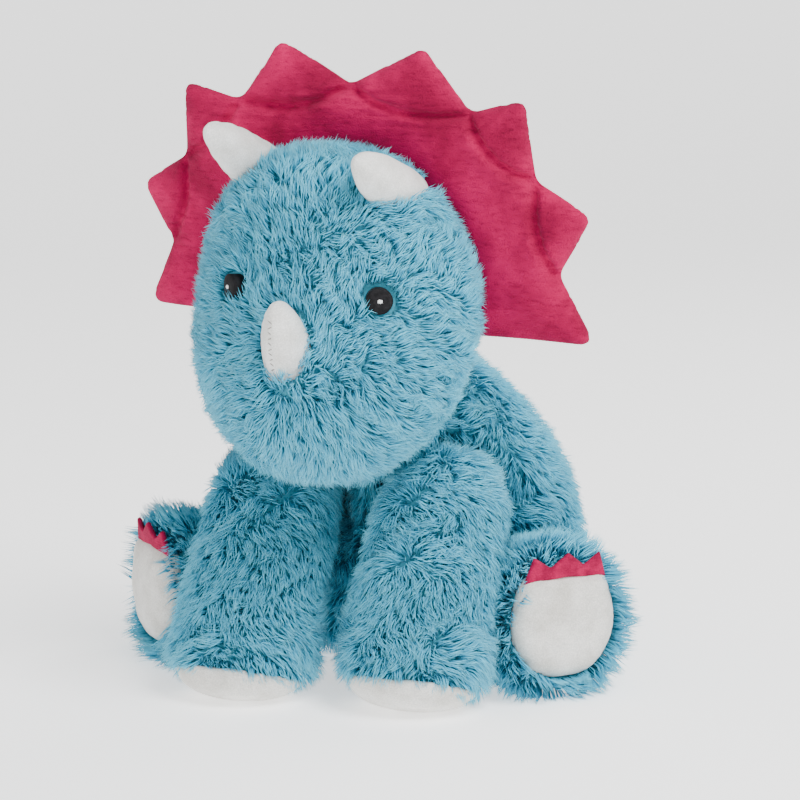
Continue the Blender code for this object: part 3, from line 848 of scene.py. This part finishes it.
def makeFrill():
    look = frillShape
    loop = frillOutline()
    flat, faces = flatFill(loop, look["spacing"])
    inward = distanceTo(flat, loop, True)
    outer = [p for p in loop if (p.x / look["innerHalf"]) ** 2 + ((p.y + 6) / 78) ** 2 > 1.25]
    edge = distanceTo(flat, outer, False)
    crease = frillCreases(flat)
    lumps = look["lump"] * flatSwirl(flat, 14, 21)[:, 0]
    loft = look["loft"] * (1 - np.exp(-edge / look["loftRise"])) + lumps * np.clip(edge / 10, 0, 1)
    pucker = look["pucker"] * flatSwirl(flat, 5.5, 23)[:, 0]
    loft += pucker * np.exp(-(crease / look["puckerWidth"]) ** 2)
    groove = look["creaseDepth"] * np.exp(-(crease / look["creaseWidth"]) ** 2) * np.clip(edge / 4, 0, 1)
    bow = look["bow"] * flatSwirl(flat, 40, 22)[:, 1]
    rim = look["rim"] * np.sqrt(np.clip(inward / 1.8, 0, 1))
    front = rim + loft - groove - bow
    back = rim + loft * look["backLoft"] - groove * look["backCrease"] + bow
    frill = twoFaced("frill", flat - (0, frillPlace["hinge"][2]), faces, front, back, frillFrame)
    mend(frill, 0.01)
    refine(frill, 1)
    setFinish(frill, frillPlush, "frill")
    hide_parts("frill_front_sheet", "frill_back_sheet", "frill_wadding")


makeFrill()
print("frill made")


# horns
hornShape = {
    "sides": 40, "rings": 26, "over": 0.4, "round": 2.5, "blunt": 0.62, "taper": 0.10, "flat": 0.96,
    "corner": 0.10, "tipCorner": 0.25, "seamDip": 0.05, "ripple": 0.28,
    "seamTurn": {"nose_horn": -98, "brow_horn_right": 100, "brow_horn_left": 80},
}


def makeHorn(name, place):      # gives back its own frame and its seam's points
    look = hornShape
    base, tip = Vector(place["base"]), Vector(place["tip"])
    axis = tip - base
    turn = axis.to_track_quat('Z', 'Y').to_matrix().to_4x4()
    seamTurn = Matrix.Rotation(math.radians(look["seamTurn"][name]), 4, 'Z')
    local = headFrame @ Matrix.Translation(base) @ turn @ seamTurn
    length, radius = axis.length, place["radius"] + look["over"]
    rings, sides = look["rings"], look["sides"]
    spots, faces = [], []
    for i in range(rings):
        rise = math.sin(i / (rings - 1) * math.pi / 2)
        width = radius * (1 - rise ** look["round"]) ** look["blunt"] * (1 - look["taper"] * rise)
        for k in range(sides):
            a = 2 * math.pi * k / sides
            corner = 1 + (look["corner"] + look["tipCorner"] * rise ** 6) * abs(math.cos(a)) ** 8
            seam = 1 - look["seamDip"] * math.exp(-(math.sin(a) * 9) ** 2) * (math.cos(a) > 0)
            across = width * corner * seam * math.cos(a)
            spots.append((across, width * look["flat"] * math.sin(a), length * rise))
    spots = np.array(spots)
    ripple = look["ripple"] * swirl(spots, 7, 31 + len(name))[:, :2]
    spots[:, :2] += ripple * np.clip(np.linalg.norm(spots[:, :2], axis=1) / 8, 0, 1)[:, None]
    for i in range(rings - 1):
        for k in range(sides):
            a, b = i * sides + k, i * sides + (k + 1) % sides
            faces.append((a, b, b + sides, a + sides))
    faces.append(tuple(range(sides))[::-1])
    piece = newPiece(name.replace("_", "") + "Cover", toWorld(local, spots), faces)
    mend(piece, 0.02)
    setFinish(piece, hornVelour, "head")
    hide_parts(name + "_cover", name + "_stuffing")
    return local, spots.reshape(rings, sides, 3)[:, 0]


stitchShape = {"count": 10, "start": 7.0, "pitch": 2.7, "half": 1.5, "radius": 0.32, "slant": 0.55}


def makeStitches(local, seam):      # slanting stitches down the closing seam, sunk a little into it
    look = stitchShape
    walked = np.concatenate([[0], np.cumsum(np.linalg.norm(np.diff(seam, axis=0), axis=1))])
    threads = []
    for i in range(look["count"]):
        here = look["start"] + i * look["pitch"]
        spot = Vector([np.interp(here, walked, seam[:, axis]) for axis in range(3)])
        ahead = Vector([np.interp(here + 1, walked, seam[:, axis]) for axis in range(3)]) - spot
        across = Vector((0, 1, 0)) + ahead.normalized() * look["slant"] * (-1) ** i
        thread = threadBead(look["radius"])
        thread.matrix_world = Matrix.Translation(spot) @ across.to_track_quat('Z', 'X').to_matrix().to_4x4()
        thread.scale = (1, 1, look["half"] / look["radius"])
        bpy.ops.object.transform_apply(location=True, rotation=True, scale=True)
        threads.append(thread)
    row = joinThreads("noseStitches", threads, local)
    setFinish(row, seamThread, "head")


for name, place in horns.items():
    hornLocal, hornSeam = makeHorn(name, place)
    if name == "nose_horn":
        makeStitches(hornLocal, hornSeam)
print("horns made")


# eyes
eyeShape = {
    "radius": 6.2, "dome": 1.0, "lift": 1.5, "threads": 44, "threadHeight": 0.16, "rings": 12, "sides": 88,
    "backRadius": 0.97, "depth": 5.0, "glints": 4, "glintRadius": 0.36, "glintLength": 3.2, "glintStep": 0.55,
}


def makeEye(side, place):      # threads run out from the middle of a low dome
    look = eyeShape
    local = placed(place["at"], (90, 0, place["turn"]), headFrame)
    rings, sides, radius = look["rings"], look["sides"], look["radius"]
    top = look["dome"] + look["lift"]
    around = [2 * math.pi * k / sides for k in range(sides)]
    spots = [(0, 0, top)]
    for i in range(1, rings + 1):
        t = i / rings
        for a in around:
            thread = look["threadHeight"] * math.cos(a * look["threads"]) * t
            height = look["dome"] * (1 - t ** 3) + look["lift"] + thread
            spots.append((radius * t * math.cos(a), radius * t * math.sin(a), height))
    backRadius = radius * look["backRadius"]
    spots += [(backRadius * math.cos(a), backRadius * math.sin(a), -look["depth"]) for a in around]
    faces = [(0, 1 + k, 1 + (k + 1) % sides) for k in range(sides)]
    for i in range(rings):
        for k in range(sides):
            a, b = 1 + i * sides + k, 1 + i * sides + (k + 1) % sides
            faces.append((a, a + sides, b + sides, b))
    faces.append(tuple(1 + rings * sides + k for k in range(sides))[::-1])
    eye = newPiece("eyeStitching." + side, toWorld(local, spots), faces)
    setFinish(eye, eyeStitch, "head")
    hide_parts("eye_" + side)
    threads = []
    for i in range(look["glints"]):
        off = i - (look["glints"] - 1) / 2
        thread = threadBead(look["glintRadius"])
        thread.scale = (1, look["glintLength"] - 0.5 * abs(off), 1)
        thread.location = (off * look["glintStep"], 0.1 * (i % 2), top)
        bpy.ops.object.transform_apply(location=True, rotation=False, scale=True)
        threads.append(thread)
    glint = joinThreads("eyeGlint." + side, threads, local)
    setFinish(glint, whiteThread, "head")
    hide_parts("eye_highlight_" + side)


for side, place in eyes.items():
    makeEye(side, place)
print("eyes made")


# soles and claws
frontSole = {"voxel": 2.0, "passes": 5, "grow": 0.5, "offFloor": 0.1}


def makeFrontSole(side):
    look = frontSole
    node = f"front_leg_{side}_sole"
    sole = softened(copyOfNodes("frontSole." + side, node), look["voxel"], look["passes"], look["grow"])
    setFinish(sole, soleVelour, "front_leg_" + side)
    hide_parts(node)
    spots = spotsOf(sole)
    spots[:, 2] = np.maximum(spots[:, 2], look["offFloor"] * mm)
    moveSpots(sole, spots)


hindSole = {
    "half": 30.0, "shoulder": 22.5, "heel": 16.0, "top": 27.0, "waist": -2.0, "bottom": -25.0, "start": 50.0,
    "rim": 57.5, "dome": 5.5, "spacing": 2.0, "rimRound": 3.0, "wrinkle": 0.35, "lump": 0.3,
}


def makeHindSole(side):      # a domed pad with a rounded rim, wrinkled under the claws
    look = hindSole
    half, shoulder, heel = look["half"], look["shoulder"], look["heel"]
    corners = [(-shoulder, look["top"], 10), (shoulder, look["top"], 10), (half, look["waist"], 34),
               (heel, look["bottom"], 26), (-heel, look["bottom"], 26), (-half, look["waist"], 34)]
    loop = resampled(roundedLoop(corners), look["spacing"])
    flat, faces = flatFill(loop, look["spacing"])
    inward = distanceTo(flat, loop, True)
    crown = look["rim"] - look["rimRound"] * np.exp(-inward / 2.0)
    crown = crown + look["dome"] * (1 - np.exp(-inward / 9.0))
    folds = np.sin(flat[:, 1] * 1.9 + 0.05 * flat[:, 0] ** 2)
    crown = crown + look["wrinkle"] * folds * np.exp(-((look["top"] - flat[:, 1]) / 7) ** 2)
    crown = crown + look["lump"] * flatSwirl(flat, 10, 41)[:, 0]
    upright = hindFrames[side] @ Matrix.Rotation(math.radians(-90), 4, 'X')
    back = -np.full(len(flat), look["start"])
    sole = twoFaced("hindSole." + side, flat, faces, crown, back, upright)
    mend(sole, 0)
    refine(sole, 1)
    setFinish(sole, soleVelour, "hind_leg_" + side)
    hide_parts(f"hind_leg_{side}_sole")


clawShape = {
    "half": 22.5, "low": 25.0, "valley": 31.0, "tip": 38.0, "outerPart": 0.80, "valleyPart": 0.40,
    "spacing": 0.6, "thick": 1.3, "rows": 1.4, "rowHeight": 0.16, "from": 57.0, "lean": 0.10, "wrap": 2.0,
}


def makeClaws(side):      # one strip with three points, in the knit's rows, wrapped round the foot
    look = clawShape
    half, low, valley, tip = look["half"], look["low"], look["valley"], look["tip"]
    outer, between = half * look["outerPart"], half * look["valleyPart"]
    corners = [(-half, low - 1.5, 0.5), (0, low + 0.6, 30), (half, low - 1.5, 0.5), (outer, tip - 1, 1.2),
               (between, valley, 2), (0, tip, 1.2), (-between, valley, 2), (-outer, tip - 1, 1.2)]
    loop = resampled(roundedLoop(corners), look["spacing"])
    flat, faces = flatFill(loop, look["spacing"])
    inward = distanceTo(flat, loop, True)
    rows = look["rowHeight"] * np.sin(flat[:, 1] * 2 * math.pi / look["rows"])
    edge = np.clip(inward, 0, 1)
    body = look["thick"] * np.sqrt(edge) + rows * edge
    bend = (flat[:, 1] - low) * look["lean"] - (flat[:, 0] / half) ** 2 * look["wrap"]
    place = look["from"] + bend
    upright = hindFrames[side] @ Matrix.Rotation(math.radians(-90), 4, 'X')
    claws = twoFaced("claws." + side, flat, faces, place + body, body - place, upright)
    mend(claws, 0.01)
    setFinish(claws, clawKnit, "hind_leg_" + side)
    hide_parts(f"hind_leg_{side}_claws")


for side in ("left", "right"):
    makeFrontSole(side)
    makeHindSole(side)
    makeClaws(side)
print("soles and claws made")

# what stays inside
pouchCloths = {"grain_pouch_front": calico, "grain_pouch_back": calico, "grain_fill": looseGrain}
for node, inner in pouchCloths.items():
    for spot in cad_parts[node].material_slots:
        spot.material = inner

# floor, light and camera
studio = {"glow": 1.0, "flat": 2.4, "curve": 1.4, "air": 0.50, "target": (0, 0, 0.13)}      # metres
lamps = {
    "keyLight": {"power": 41.0, "size": 0.8, "at": (0.95, -0.55, 1.5)},
    "fillLight": {"power": 1.5, "size": 1.2, "at": (-1.2, -0.9, 0.7)},
    "backLight": {"power": 8.0, "size": 0.8, "at": (0.5, 1.1, 1.2)},
}
cameraPlace = {"azimuth": 20.0, "elevation": 10.0, "focal": 110.0, "at": (426.9, -1073.0, 351.8)}


def makeFloor():      # a flat disc that curves up into a bowl, so no horizon shows
    bend = [(studio["flat"] + studio["curve"] * math.sin(a), studio["curve"] * (1 - math.cos(a)))
            for a in np.radians(np.arange(0, 91, 10))]
    around = np.radians(np.arange(0, 360, 7.5))
    count = len(around)
    spots = [(0, 0, 0)] + [(r * math.cos(a), r * math.sin(a), z) for r, z in bend for a in around]
    faces = [(0, 1 + k, 1 + (k + 1) % count) for k in range(count)]
    for i in range(len(bend) - 1):
        for k in range(count):
            first, second = 1 + i * count + k, 1 + i * count + (k + 1) % count
            faces.append((first, first + count, second + count, second))
    ground = newPiece("studioFloor", spots, faces)
    floorPaper, tree, shader = startMaterial("floorPaper", 0.9, specular=0.1)
    shader.inputs["Base Color"].default_value = (0.93, 0.93, 0.93, 1)
    shader.inputs["Emission Color"].default_value = (1, 1, 1, 1)
    shader.inputs["Emission Strength"].default_value = studio["glow"]
    ground.data.materials.append(floorPaper)


def makeAir():
    world = bpy.data.worlds.new("studioAir")
    world.use_nodes = True
    background = world.node_tree.nodes["Background"]
    background.inputs["Color"].default_value = (1, 1, 1, 1)
    background.inputs["Strength"].default_value = studio["air"]
    bpy.context.scene.world = world


def makeLamp(name, look):
    data = bpy.data.lights.new(name, 'AREA')
    data.energy, data.size = look["power"], look["size"]
    lamp = bpy.data.objects.new(name, data)
    bpy.context.scene.collection.objects.link(lamp)
    lamp.location = look["at"]
    aim = Vector(studio["target"]) - Vector(look["at"])
    lamp.rotation_euler = aim.to_track_quat('-Z', 'Y').to_euler()


def makeCamera(look):
    camera = bpy.data.objects.new("camera", bpy.data.cameras.new("camera"))
    bpy.context.scene.collection.objects.link(camera)
    camera.data.lens, camera.data.sensor_width = look["focal"], 36.0
    camera.location = (Vector(look["at"]) + toyOrigin) * mm
    camera.rotation_euler = (math.radians(90 - look["elevation"]), 0, math.radians(look["azimuth"]))
    bpy.context.scene.camera = camera


makeFloor()
makeAir()
for name, look in lamps.items():
    makeLamp(name, look)
makeCamera(cameraPlace)
print("floor, light and camera made")
